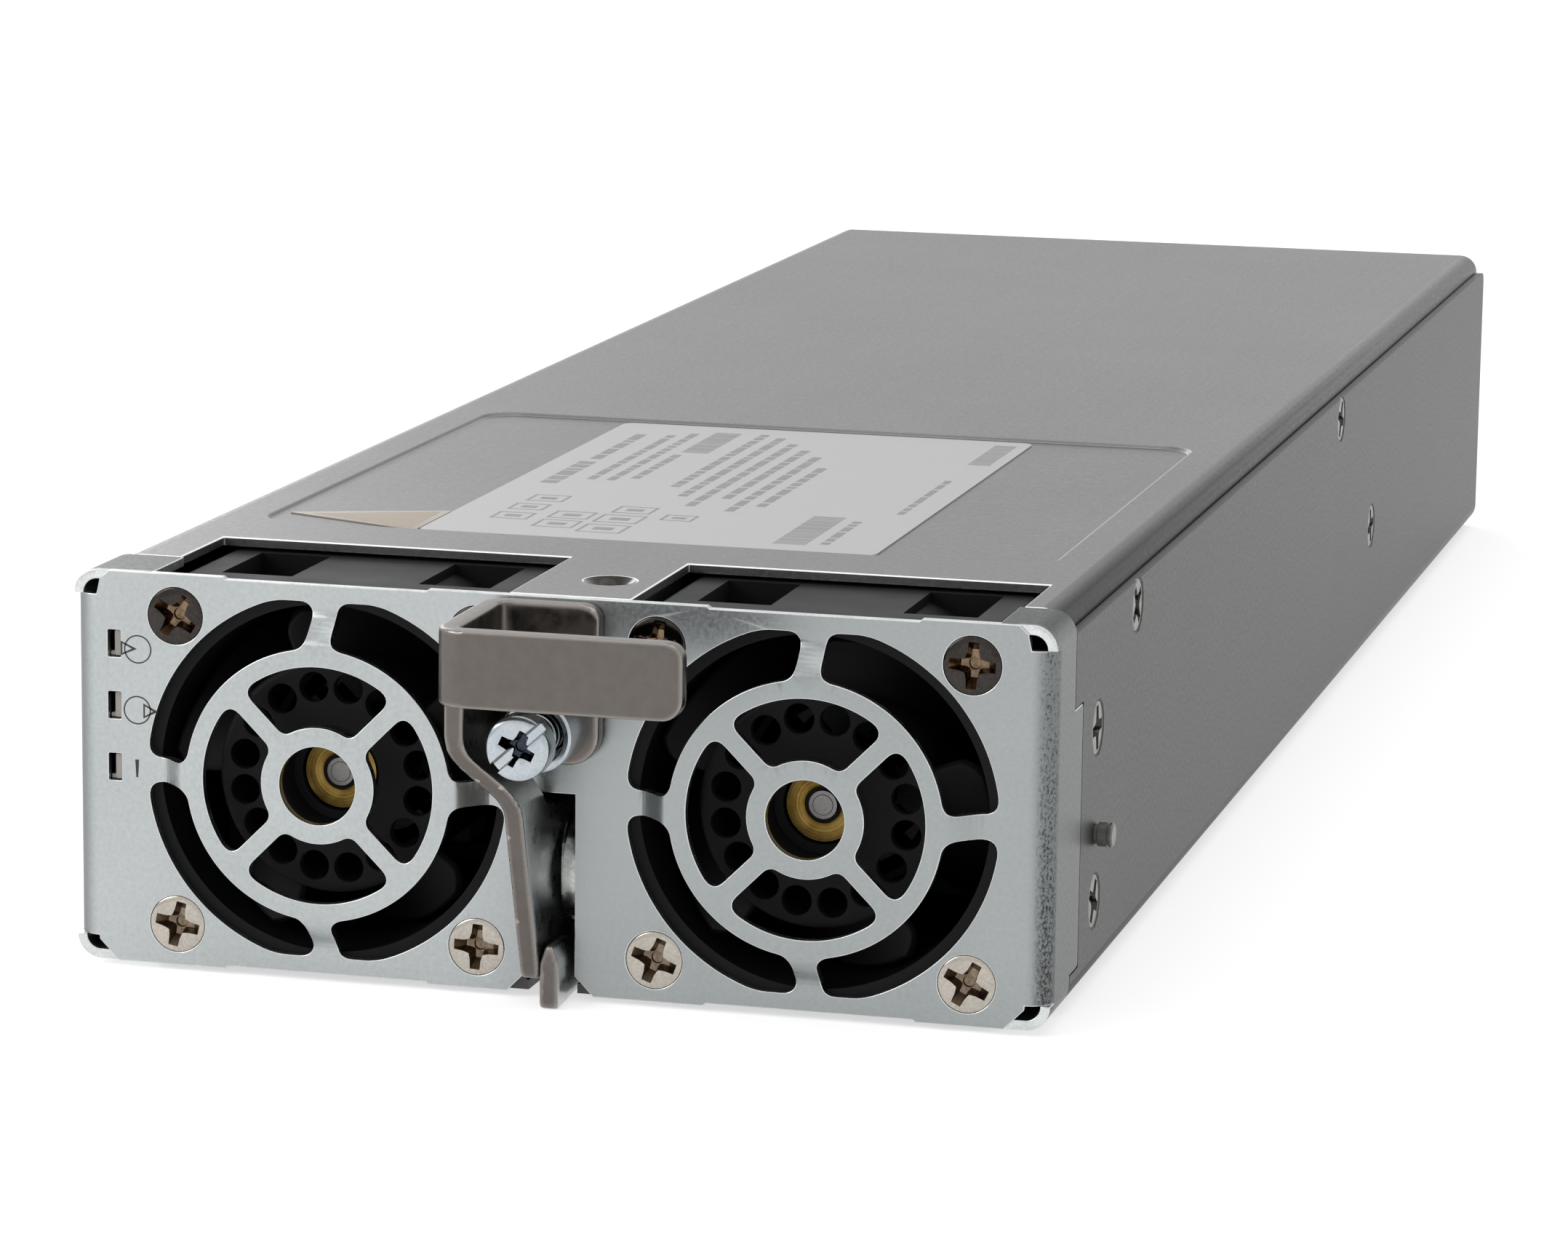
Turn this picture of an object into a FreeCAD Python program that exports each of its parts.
"""Hot swap server power supply: a sheet metal case with two fans, a pull lever and a power train.

Units are millimetres.  While the pieces are made, X runs to the right seen from the front, Y runs
back from the front face and Z runs up from the underside.  export() then moves the origin to the
middle of the underside.
"""
import FreeCAD
import Part

import math
import os

V = FreeCAD.Vector

# ---------------------------------------------------------------- driving dimensions: the case
sheet = 1.0                 # steel of the bezel, tray, cover and rear panel
case_depth = 316.0          # front face to rear face
bend_radius = 2.5           # outside of every folded edge
seam = 0.15                 # gap where two sheets meet edge to edge
nest_gap = 0.1              # gap between sheets that lie one inside the other
fan_size = 38.0             # square frame
fan_skin_gap = 0.3          # fan to the sheet above and below it
led_bay = 7.0               # left wall to left fan
lever_bay = 12.6            # between the fans
right_bay = 4.4             # right fan to right wall

case_height = fan_size + 2 * (sheet + fan_skin_gap)
case_width = 2 * (sheet + fan_size) + led_bay + lever_bay + right_bay
half_width = case_width / 2
inside_half = half_width - sheet
left_fan_x = -inside_half + led_bay + fan_size / 2
right_fan_x = inside_half - right_bay - fan_size / 2
fan_z = case_height / 2
bay_left = left_fan_x + fan_size / 2
bay_right = right_fan_x - fan_size / 2

# ---------------------------------------------------------------- bezel
bezel_return = 9.6          # depth of the folded sides
tongue_reach = 4.0          # how far the tongue of each side runs into the tray wall
tongue_low = 3.5
tongue_high = case_height - 10.1
corner_relief = 2.1         # corner hole, left open where three folds meet
lip_overlap = 0.4           # corner lips over the fan frames
edge_relief_depth = 0.25    # shallow steps in the top and bottom edge at each fan
edge_relief_half = 10.6
opening_radius = fan_size / 2 + 0.05
opening_flat = fan_size / 2 - 0.7   # openings are cut flat above and below the fan centre
grille_emboss = 2.6         # the grille stands proud of the bezel
ring_outer = fan_size / 2 - 5.0
ring_inner = ring_outer - 1.85
hub_ring_outer = 6.0
hub_ring_inner = 4.0
spoke_width = 2.0
ramp_width = 2.6
ramp_flare = 1.3
led_window_width = 1.4
led_window_height = 2.8
led_window_inset = 4.4      # centre of the windows from the left side
led_window_top = case_height - 7.5  # centre of the top window
led_pitch = 6.4
led_count = 3

# ---------------------------------------------------------------- tray, cover, rear panel
wall_drop = 2.4             # tray walls end this far below the top of the case
cover_flange = 9.1          # height of the cover's folded sides
window_depth = 22.5         # fan windows, back from the front face
recess_depth = 0.4          # shallow panel in the cover where the labels go
recess_front = 34.0
recess_length = 82.0
recess_width = 86.0
recess_corner = 4.0
label_sheet = 0.15          # both labels lie on the floor of the recess
label_left = -25.7
label_width = 50.0
label_length = 80.0
label_inset = 0.4           # label to the front edge of the recess
label_corner = 1.5
caution_reach = 16.5        # three-cornered label, to the left of the large one
caution_height = 12.8
tongue_hole_x = 1.4         # tapped point in the cover's tongue, from the middle of the lever bay
tongue_hole_y = 10.6
tongue_hole_radius = 1.65
tongue_sink_radius = 2.75
rear_flange = 10.0          # sides of the rear panel, folded forward
vent_width = 2.4
vent_pitch = 4.2
vent_count = 4
vent_low = 6.0
vent_high = case_height - 6.6
vent_side = 4.6             # outermost vent to the side wall

# ---------------------------------------------------------------- flat head screws
screw_radius = 1.5
screw_head_radius = 2.9
screw_head_sink = 1.5       # depth of the cone
screw_clear = 0.06          # hole to shank
fan_hole_pitch = fan_size - 6.0
fan_screw_length = 7.5
screw_sides = 12            # small hidden rounds are drawn with flats
round_sides = 24            # larger ones
side_screw_length = 3.0
front_screw_y = 21.5        # side screws and locating pin, back from the front face
front_screw_low = 8.4
front_screw_high = case_height - 14.2
cover_screw_z = case_height - 5.1
cover_screw_front = 41.5
cover_screw_rear = 178.0
middle_screw_y = 207.0      # lone screw in the middle of each wall
middle_screw_z = 17.0

# ---------------------------------------------------------------- side brackets and pin
side_bracket = 1.0
side_bracket_front = 2.8
side_bracket_back = 27.0
side_bracket_low = 4.0
pin_radius = 1.25
pin_z = 15.4
pin_reach = 1.9             # stands this far out of the right wall
pin_shank_radius = 1.0
pin_neck = 0.3              # length of the shank seen between the wall and the pin's body
pin_nose = 0.3              # chamfer at the tip
pin_head_radius = 2.0
pin_head = 0.8

# ---------------------------------------------------------------- fans
fan_depth = 28.0
fan_corner = 2.0
fan_bore = fan_size / 2 - 1.1
blade_tip = fan_bore - 0.6
fan_hub = blade_tip - 5.3   # radius of the rotor's cup
fan_cup_wall = 1.2
fan_face = 1.5              # thickness of the cup's front
fan_face_set = 0.8          # rotor face behind the front of the frame
blade_count = 5
blade_thick = 1.4
blade_camber = 3.2
blade_front = 2.0           # blade edges from the front of the frame
blade_back = 22.5
blade_half_width = 7.2
vent_hole_circle = fan_hub - 2.6
vent_hole_count = 16
vent_web = 0.6              # plastic between neighbouring holes
vent_hole_radius = math.pi * vent_hole_circle / vent_hole_count - vent_web / 2
dish_radius = 5.4           # recess in the middle of the rotor's face
dish_depth = 2.8
bush_radius = 4.0
bush_length = 3.0
shaft_radius = 1.05
shaft_run = 0.05            # radial clearance in the bearings
press_gap = 0.02            # radial gap drawn between pressed pieces
bearing_outer = 2.55
tube_radius = 3.3           # bearing tube of the frame
motor_disc = 2.8            # thickness of the frame's rear disc
motor_disc_radius = fan_hub - 1.0
strut_width = 2.2
rotor_end_gap = 0.6
magnet_wall = 0.8
air_gap = 0.5               # magnet to stator
stator_length = 8.0
pocket_inner = fan_size / 2 - 12.2  # core-outs in the frame, from its centre line
pocket_outer = fan_size / 2 - 4.6
pocket_front = 8.3          # from the front of the frame
pocket_back = 20.5
pocket_skin = 1.3           # duct wall under a core-out

# ---------------------------------------------------------------- lever
lever_sheet = 2.0
lever_bend = 1.0            # inside radius of the folds
slot_from_fan = 2.2         # left edge of the bezel's slot, from the left fan
slot_width = 5.1
slot_top = case_height - 19.9
slot_chamfer = 2.0
lever_side_gap = 0.5        # lever to the slot's left edge
lever_jog = 4.35            # sideways step from the lever's web to its arm
jog_high = case_height - 13.4
jog_low = jog_high - 5.3
jog_bend = 4.0
lever_top = case_height - 0.2
bar_low = lever_top - 7.7
bar_reach = 19.0            # front of the grip, ahead of the bezel
bar_right = 18.55
bar_corner = 1.7
arm_front = 15.0            # front edge of the arm below the grip
web_front_high = 9.5
web_front_low = 3.5
web_low = 2.3
web_back_low = 4.5
flange_set = 0.3            # lever's flange to the bezel
flange_low = 24.1
flange_right = 5.35
flange_corner = 3.2
pivot_y = 7.0               # behind the front face
pivot_z = 11.8
pivot_radius = 2.0
pivot_run = 0.05
pivot_boss = 7.2            # radius of the web round the pivot
pivot_head_radius = 5.5
pivot_head = 1.7
washer_space = 0.8          # lever to rivet head, filled by the wave washer
wave_thick = 0.25
wave_curve = 22.0
wave_outer = 5.2
cam_width = 2.05
cam_tip = -0.65             # just below the underside
cam_front = 3.7             # ahead of the bezel
cam_high = 6.7
cam_shoulder = 4.0
cam_back = 11.6
bracket_sheet = 1.2
bracket_clear = 0.8         # bracket to each fan
bracket_depth = 26.0
notch_depth = 20.0          # slot in the tray for the cam, back from the front face
bracket_side_front = 25.0   # sides cut low ahead of here, under the cover's tongue
bracket_top_front = 4.5
bracket_top_back = 17.0

# ---------------------------------------------------------------- captive screw
captive_x = 0.55
captive_z = case_height - 12.5
captive_head_radius = 3.25
captive_head = 2.8
captive_neck = 1.1
captive_thread = 1.5
captive_thread_length = 1.8
captive_travel = 3.2
captive_stop = 0.15         # head to ferrule when the screw is driven home
ferrule_radius = 3.65
ferrule_bore = 2.85
ferrule_spigot = 3.0
ferrule_length = 5.8        # ahead of the flange
ferrule_web = 1.0
neck_clear = 0.15
thread_clear = 0.2
collar = 0.3                # washer between head and spring
spring_radius = 2.1
spring_wire = 0.45
spring_turns = 5
spring_steps = 10           # straight pieces in each turn
spring_end_gap = 0.05
nut_flats = 5.5
nut_depth = 2.2
bezel_hole_radius = 1.9

# ---------------------------------------------------------------- light pipes
pipe_clear = 0.05
pipe_set = 0.3              # front of the pipes behind the bezel sheet
pipe_length = 9.0
led_depth = 1.6
led_board_sheet = 1.2
led_board_edge = 3.6        # board beyond the outer windows
led_board_gap = 0.4         # board to the fan

# ---------------------------------------------------------------- power train
board_sheet = 1.6
board_front = 34.0
board_rear_gap = 13.0       # board to the rear panel
board_side_gap = 4.0
standoff_height = 4.0
standoff_radius = 2.6
standoff_inset = 6.0        # rows of standoffs from the board's ends
board_screw_head = 2.7
board_screw_thick = 1.8
insulator_sheet = 0.4
insulator_gap = 1.5
heatsink_plate = 3.0
heatsink_fin = 1.2
heatsink_fin_length = 9.0
heatsink_fins = 5
heatsink_height = 26.0
heatsink_length = 92.0
heatsink_x = inside_half - 19.0
heatsink_front = 56.0
bulk_radius = 14.5
bulk_height = case_height - 10.6
bulk_from_rear = 78.0
bulk_x = inside_half - 20.0
output_cap_radius = 5.0
output_cap_height = 20.0
output_cap_pitch = 12.0
output_cap_count = 3
core_width = 36.0
core_depth = 34.0
core_height = 26.0
core_limb = 9.0
winding_swell = 5.5
core_front = 92.0
choke_radius = 15.0
choke_bore = 7.0
choke_height = 13.0
choke_lift = 2.5
choke_front = 156.0
choke_x = 19.0
choke_turns = 12
choke_wire = 0.9
input_choke_width = 24.0
input_choke_depth = 20.0
input_choke_height = 22.0
input_choke_from_rear = 36.0
inductor_width = 24.0
inductor_height = 18.0
card_height = 24.0
card_sheet = 1.2
card_front = 60.0
control_board_gap = 24.0
header_width = 8.0
header_depth = 6.0
header_height = 8.0
device_width = 15.5
device_height = 20.0
device_thick = 4.8
device_pitch = 20.0
device_count = 4
socket_width = 52.0
socket_height = 20.0
socket_low = 8.0
socket_reach = 7.0          # blind mate connector, out of the rear panel
socket_depth = 22.0
socket_wall = 1.6
blade_pair_count = 5
blade_sheet = 1.0
blade_height = 12.0
blade_length = 10.0
blade_margin = 2.2          # outer blades to the walls of their mouth
signal_room = 16.0          # share of the housing's width for the signal pins
signal_margin = 1.6
mouth_depth = 13.0          # mouths of the housing, and the contacts' root
blade_pitch = (socket_width - signal_room - 2 * (socket_wall + blade_margin)
               - blade_sheet) / (blade_pair_count - 1)
signal_pin_length = 9.0
pin_pitch = 2.0
pin_columns = 6
pin_rows = 3
pin_side = 0.64

slot_left = bay_left + slot_from_fan
slot_right = slot_left + slot_width
web_left = slot_left + lever_side_gap
web_right = web_left + lever_sheet
arm_left = web_left - lever_jog
fan_front = sheet
fan_rear = fan_front + fan_depth
front_of = {"left": left_fan_x, "right": right_fan_x}
wall_top = case_height - wall_drop
cover_half = inside_half - nest_gap
cover_low = case_height - cover_flange
board_z = sheet + standoff_height
board_top = board_z + board_sheet
board_half = inside_half - board_side_gap
board_rear = case_depth - sheet - board_rear_gap
window_x = -half_width + led_window_inset


# ================================================================ small helpers
def at(plane, a, b, c):
    """A point of the plane's own (a, b) at height c along the third axis."""
    return {"xy": V(a, b, c), "xz": V(a, c, b), "yz": V(c, a, b)}[plane]


def outline(points, plane="xy", height=0.0):
    """Closed wire; a point's third value is the radius that rounds its corner."""
    corners = []
    for i, point in enumerate(points):
        here = V(point[0], point[1], 0)
        radius = point[2] if len(point) > 2 else 0
        if not radius:
            corners.append((here, None, here))
            continue
        before = (V(*points[i - 1][:2], 0) - here).normalize()
        after = (V(*points[(i + 1) % len(points)][:2], 0) - here).normalize()
        half = before.getAngle(after) / 2
        reach = radius / math.tan(half)
        middle = here + (before + after).normalize() * (radius / math.sin(half) - radius)
        corners.append((here + before * reach, middle, here + after * reach))
    edges = []
    for i, (start, middle, end) in enumerate(corners):
        following = corners[(i + 1) % len(corners)][0]
        spots = [at(plane, p.x, p.y, height) for p in (start, middle or start, end, following)]
        if middle:
            edges.append(Part.Arc(*spots[:3]).toShape())
        if (following - end).Length > 1e-6:
            edges.append(Part.LineSegment(spots[2], spots[3]).toShape())
    return Part.Wire(edges)


def prism(points, plane, start, stop):
    """The outline, extruded from start to stop along the plane's third axis."""
    face = Part.Face(outline(points, plane, start))
    return face.extrude(at(plane, 0, 0, stop - start))


def box(x0, x1, y0, y1, z0, z1):
    return Part.makeBox(x1 - x0, y1 - y0, z1 - z0, V(x0, y0, z0))


def rod(radius, axis, start, stop, u, v):
    """Cylinder along x, y or z; u and v are its other two coordinates, in X, Y, Z order."""
    base = {"x": V(start, u, v), "y": V(u, start, v), "z": V(u, v, start)}[axis]
    along = {"x": V(1, 0, 0), "y": V(0, 1, 0), "z": V(0, 0, 1)}[axis]
    return Part.makeCylinder(radius, stop - start, base, along)


def tube(outer, inner, axis, start, stop, u, v):
    return rod(outer, axis, start, stop, u, v).cut(rod(inner, axis, start, stop, u, v))


def clear_of(radius, sides):
    """Corner radius of a many-sided hole whose flats stay outside the radius."""
    return radius / math.cos(math.pi / sides)


def flatted(profile, axis, u, v, sides):
    """Many-sided solid on the turned profile of (radius, position) points."""
    base = {"x": V(0, u, v), "y": V(u, 0, v), "z": V(u, v, 0)}[axis]
    along = {"x": V(1, 0, 0), "y": V(0, 1, 0), "z": V(0, 0, 1)}[axis]
    out = {"x": V(0, 1, 0), "y": V(0, 0, 1), "z": V(1, 0, 0)}[axis]
    away = along.cross(out)

    def spot(point, i):
        angle = 2 * math.pi * (i % sides + 0.5) / sides
        side = out * math.cos(angle) + away * math.sin(angle)
        return base + side * point[0] + along * point[1]

    faces = []
    for near, far in zip(profile, profile[1:] + profile[:1]):
        if near[0] == 0 and far[0] == 0:
            continue
        if near[1] == far[1]:
            rims = [Part.Face(Part.makePolygon([spot(p, i) for i in range(sides + 1)]))
                    for p in sorted((near, far)) if p[0] > 0]
            faces.append(rims[1].cut(rims[0]).Faces[0] if len(rims) == 2 else rims[0])
            continue
        for i in range(sides):
            corners = [spot(near, i), spot(near, i + 1), spot(far, i + 1), spot(far, i)]
            if near[0] == 0:
                corners = corners[1:]
            elif far[0] == 0:
                corners = corners[:3]
            faces.append(Part.Face(Part.makePolygon(corners + corners[:1])))
    return Part.Solid(Part.makeShell(faces))


def flat_rod(radius, axis, start, stop, u, v, sides):
    return flatted([(0, start), (radius, start), (radius, stop), (0, stop)], axis, u, v, sides)


def flat_tube(outer, inner, axis, start, stop, u, v, sides):
    profile = [(inner, start), (outer, start), (outer, stop), (inner, stop)]
    return flatted(profile, axis, u, v, sides)


def joined(pieces):
    """One solid from several that touch or overlap."""
    return pieces[0].fuse(pieces[1:]).removeSplitter() if len(pieces) > 1 else pieces[0]


def group(pieces):
    return Part.makeCompound(pieces)


def mirrored(shape):
    """The same piece on the other side of the case."""
    return shape.mirror(V(0, 0, 0), V(1, 0, 0))


def turn_about(shape, axis, u, v, angle):
    """A copy of the shape turned about an axis through u, v."""
    base = {"x": V(0, u, v), "y": V(u, 0, v), "z": V(u, v, 0)}[axis]
    along = {"x": V(1, 0, 0), "y": V(0, 1, 0), "z": V(0, 0, 1)}[axis]
    copy = shape.copy()
    copy.rotate(base, along, angle)
    return copy


def export(name, shape):
    """Write one sub-part, with the origin moved to the middle of the underside."""
    placed = shape.copy()
    placed.translate(V(0, -case_depth / 2, 0))
    placed.exportStep("parts/" + name + ".step")
    print(name, "solids", len(placed.Solids), "valid", placed.isValid())


# ================================================================ screws
def flat_screw(length):
    """Countersunk screw along +Y with its face at Y 0."""
    return flatted([(0, 0), (screw_head_radius, 0), (screw_radius, screw_head_sink),
                    (screw_radius, length), (0, length)], "y", 0, 0, screw_sides)


def screw_hole(length):
    """The space of a flat screw, a little wider all round."""
    slope = (screw_head_radius - screw_radius) / screw_head_sink
    head = clear_of(screw_head_radius + screw_clear + slope, screw_sides)
    shank = clear_of(screw_radius + screw_clear, screw_sides)
    return flatted([(0, -1), (head, -1), (shank, screw_head_sink), (shank, length), (0, length)],
                   "y", 0, 0, screw_sides)


def on_side(shape, y, z):
    """A piece made along +Y, laid in the right wall: its face flush, pointing inward."""
    laid = turn_about(shape, "z", 0, 0, 90)
    laid.translate(V(half_width, y, z))
    return laid


def side_screw_places():
    """(y, z) of the screws in each side wall."""
    return [(front_screw_y, front_screw_low), (front_screw_y, front_screw_high),
            (cover_screw_front, cover_screw_z), (cover_screw_rear, cover_screw_z),
            (middle_screw_y, middle_screw_z)]


def side_screws():
    right = [on_side(flat_screw(side_screw_length), y, z) for y, z in side_screw_places()]
    return group(right + [mirrored(screw) for screw in right])


def cut_side_holes(shape):
    """Clears the side screws out of a piece."""
    holes = [on_side(screw_hole(side_screw_length + 0.5), y, z) for y, z in side_screw_places()]
    return shape.cut(holes + [mirrored(hole) for hole in holes])


def fan_screw_places():
    half = fan_hole_pitch / 2
    return [(x + sx * half, fan_z + sz * half)
            for x in (left_fan_x, right_fan_x) for sx in (-1, 1) for sz in (-1, 1)]


def fan_screws():
    screws = []
    for x, z in fan_screw_places():
        screw = flat_screw(fan_screw_length)
        screw.translate(V(x, 0, z))
        screws.append(screw)
    return group(screws)


def cut_fan_holes(shape):
    holes = []
    for x, z in fan_screw_places():
        hole = screw_hole(fan_screw_length + 0.5)
        hole.translate(V(x, 0, z))
        holes.append(hole)
    return shape.cut(holes)


# ================================================================ bezel
def quarter_fold(side, start, stop):
    """Vertical fold between the bezel's face and one side."""
    x = half_width - bend_radius
    fold = tube(bend_radius, bend_radius - sheet, "z", start, stop, x, bend_radius)
    fold = fold.common(box(x, half_width, 0, bend_radius, start, stop))
    return fold if side > 0 else mirrored(fold)


def bezel_side(side):
    """One folded side with its tongue and its two corner lips."""
    low, high = bend_radius, case_height - bend_radius
    wall = box(half_width - sheet, half_width, bend_radius, bezel_return, low, high)
    tongue = box(half_width - sheet, half_width, bezel_return - 1, bezel_return + tongue_reach,
                 tongue_low, tongue_high)
    fan_edge = right_bay if side > 0 else led_bay
    lip_end = inside_half - fan_edge - lip_overlap
    x = half_width - bend_radius
    pieces = [wall, tongue]
    for z, flat in ((high, case_height - sheet), (low, 0)):
        roll = tube(bend_radius, bend_radius - sheet, "y", sheet / 3, bezel_return, x, z)
        up = box(x, half_width, 0, bezel_return, min(z, flat), max(z, flat + sheet))
        pieces.append(roll.common(up))
        pieces.append(box(lip_end, x, sheet / 3, bezel_return, flat, flat + sheet))
    shape = joined(pieces)
    return shape if side > 0 else mirrored(shape)


def bezel_face():
    """Flat front with cut corners, stepped edges and the slot for the lever."""
    x = half_width - bend_radius
    cut = corner_relief
    corner = [(x - cut, 0), (x, cut), (x, case_height - cut), (x - 0.5, case_height - 0.8),
              (x - 1.5, case_height)]
    points = corner + [(-a, b) for a, b in reversed(corner)]
    face = prism(points, "xz", 0, sheet)
    steps = []
    for fan_x in (left_fan_x, right_fan_x):
        for low in (case_height - edge_relief_depth, edge_relief_depth - sheet):
            steps.append(box(fan_x - edge_relief_half, fan_x + edge_relief_half, -1, 2,
                             low, low + sheet))
    slot = prism([(slot_left - slot_chamfer - 1, -1), (slot_left, slot_chamfer),
                  (slot_left, slot_top), (slot_right, slot_top), (slot_right, slot_chamfer),
                  (slot_right + slot_chamfer + 1, -1)], "xz", -1, 2)
    return face.cut(steps + [slot])


def fan_opening(fan_x):
    """Round opening, cut flat above and below."""
    hole = rod(opening_radius, "y", -1, 2, fan_x, fan_z)
    return hole.common(box(fan_x - fan_size, fan_x + fan_size, -1, 2,
                           fan_z - opening_flat, fan_z + opening_flat))


def grille_ramp(fan_x, angle):
    """Bridge from the raised ring down to the bezel, flared at both ends."""
    top, half, flare = -grille_emboss, ramp_width / 2, ramp_width / 2 + ramp_flare
    inner, outer = ring_outer - 0.4, opening_radius + 0.3
    section = prism([(top, fan_z + inner), (top, fan_z + ring_outer + 0.4),
                     (0, fan_z + outer - 1.6), (0, fan_z + outer), (sheet, fan_z + outer),
                     (sheet, fan_z + outer - 2.0), (top + sheet, fan_z + ring_outer),
                     (top + sheet, fan_z + inner)], "yz", -flare, flare)
    low, high = fan_z + ring_outer + ramp_flare, fan_z + opening_radius - ramp_flare
    waist = prism([(-flare, fan_z + inner), (flare, fan_z + inner),
                   (flare, fan_z + ring_outer), (half, low), (half, high),
                   (flare, fan_z + opening_radius), (flare, fan_z + outer),
                   (-flare, fan_z + outer), (-flare, fan_z + opening_radius), (-half, high),
                   (-half, low), (-flare, fan_z + ring_outer)], "xz", -5, 5)
    ramp = section.common(waist)
    ramp.rotate(V(0, 0, fan_z), V(0, 1, 0), angle)
    ramp.translate(V(fan_x, 0, 0))
    return ramp


def grille(fan_x):
    """Raised guard: hub ring and outer ring on four diagonal spokes, with four ramps."""
    top = -grille_emboss
    disc = tube(ring_outer, hub_ring_inner, "y", top, top + sheet, fan_x, fan_z)
    ring = tube(ring_inner, hub_ring_outer, "y", top - 1, top + sheet + 1, fan_x, fan_z)
    spoke = box(fan_x - ring_outer, fan_x + ring_outer, top - 1, top + sheet + 1,
                fan_z - spoke_width / 2, fan_z + spoke_width / 2)
    cross = [turn_about(spoke, "y", fan_x, fan_z, angle) for angle in (45, 135)]
    sectors = []
    for sector in ring.cut(cross).Solids:
        upright = [e for e in sector.Edges if len(e.Vertexes) == 2
                   and abs(e.Vertexes[0].Y - e.Vertexes[1].Y) > sheet]
        sectors.append(sector.makeChamfer(0.6, upright))
    return [disc.cut(sectors)] + [grille_ramp(fan_x, angle) for angle in (0, 90, 180, 270)]


def led_window_z():
    return [led_window_top - i * led_pitch for i in range(led_count)]


def front_bezel():
    half_w, half_h = led_window_width / 2, led_window_height / 2
    windows = [box(window_x - half_w, window_x + half_w, -1, 2, z - half_h, z + half_h)
               for z in led_window_z()]
    hole = flat_rod(clear_of(bezel_hole_radius, round_sides), "y", -1, 2, captive_x, captive_z,
                    round_sides)
    openings = [fan_opening(left_fan_x), fan_opening(right_fan_x)]
    face = cut_fan_holes(bezel_face().cut(openings + windows + [hole]))
    folds = [quarter_fold(side, corner_relief, case_height - corner_relief) for side in (-1, 1)]
    guards = grille(left_fan_x) + grille(right_fan_x)
    return joined([face] + folds + [bezel_side(-1), bezel_side(1)] + guards)


# ================================================================ tray, cover and rear panel
def tray_wall():
    """Right wall, cut back at the front round the bezel's tongue."""
    front, deep = bezel_return + seam, bezel_return + tongue_reach + seam
    points = [(front, bend_radius), (front, tongue_low - seam), (deep, tongue_low - seam),
              (deep, tongue_high + seam), (front, tongue_high + seam), (front, wall_top),
              (case_depth, wall_top, 1.5), (case_depth, bend_radius)]
    return prism(points, "yz", half_width - sheet, half_width)


def tray_fold():
    x = half_width - bend_radius
    fold = tube(bend_radius, bend_radius - sheet, "y", bezel_return + seam, case_depth,
                x, bend_radius)
    return fold.common(box(x, half_width, 0, case_depth, 0, bend_radius))


def tray_floor():
    """Floor with two fan windows, a tongue between them and the slot for the cam."""
    x = half_width - bend_radius
    floor = box(-x, x, sheet + seam, case_depth, 0, sheet)
    cuts = [box(fan_x - fan_size / 2, fan_x + fan_size / 2, 0, window_depth, -1, 2)
            for fan_x in (left_fan_x, right_fan_x)]
    left_edge, right_edge = left_fan_x - fan_size / 2, right_fan_x + fan_size / 2
    cuts.append(box(-half_width, left_edge, 0, bezel_return + seam, -1, 2))
    cuts.append(box(right_edge, half_width, 0, bezel_return + seam, -1, 2))
    cuts.append(prism([(slot_left, 0), (slot_right, 0), (slot_right, notch_depth, 1.5),
                       (slot_left, notch_depth, 1.5)], "xy", -1, 2))
    return floor.cut(cuts)


def chassis_tray():
    side = [tray_wall(), tray_fold()]
    tray = joined([tray_floor()] + side + [mirrored(piece) for piece in side])
    hole = flat_rod(clear_of(pin_shank_radius + press_gap, screw_sides), "x", inside_half - 1,
                    half_width + 1, front_screw_y, pin_z, screw_sides)
    return cut_side_holes(tray).cut(hole)


def cover_profile():
    """Section of the cover: a flat top and two rounded sides."""
    x, z, r = cover_half, case_height, bend_radius
    outer = [(-x, cover_low), (-x, z, r), (x, z, r), (x, cover_low)]
    inner = [(x - sheet, cover_low), (x - sheet, z - sheet, r - sheet),
             (-x + sheet, z - sheet, r - sheet), (-x + sheet, cover_low)]
    return outer + inner


def cover_recess(lift, grow):
    """Shallow plate with rounded corners and sloping edges."""
    half, length, slope = recess_width / 2 + grow, recess_length + grow, recess_depth
    low, high = case_height - recess_depth - lift, case_height - lift
    wires = []
    for size, z in ((0, low), (slope, high)):
        x, y0, y1 = half + size, recess_front - grow - size, recess_front + length + size
        wires.append(outline([(-x, y0, recess_corner), (x, y0, recess_corner),
                              (x, y1, recess_corner), (-x, y1, recess_corner)], "xy", z))
    return Part.makeLoft(wires, True, True)


def top_cover():
    cover = prism(cover_profile(), "xz", sheet + seam, case_depth)
    cuts = [box(fan_x - fan_size / 2, fan_x + fan_size / 2, 0, window_depth,
                cover_low, case_height + 1) for fan_x in (left_fan_x, right_fan_x)]
    for start, stop in ((-half_width, left_fan_x - fan_size / 2),
                        (right_fan_x + fan_size / 2, half_width)):
        cuts.append(box(start, stop, 0, bezel_return + seam, 0, case_height + 1))
    hole_x = (bay_left + bay_right) / 2 + tongue_hole_x
    sink = flatted([(0, case_height - 2), (tongue_hole_radius, case_height - 2),
                    (tongue_hole_radius, case_height - 0.75), (tongue_sink_radius, case_height),
                    (tongue_sink_radius, case_height + 1), (0, case_height + 1)],
                   "z", hole_x, tongue_hole_y, round_sides)
    cover = cover.cut(cuts + [sink, cover_recess(0, 0)])
    pan = cover_recess(sheet - 0.001, sheet / 2).common(
        box(-half_width, half_width, 0, case_depth, 0, case_height - recess_depth))
    return cut_side_holes(cover.fuse(pan).removeSplitter())


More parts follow.
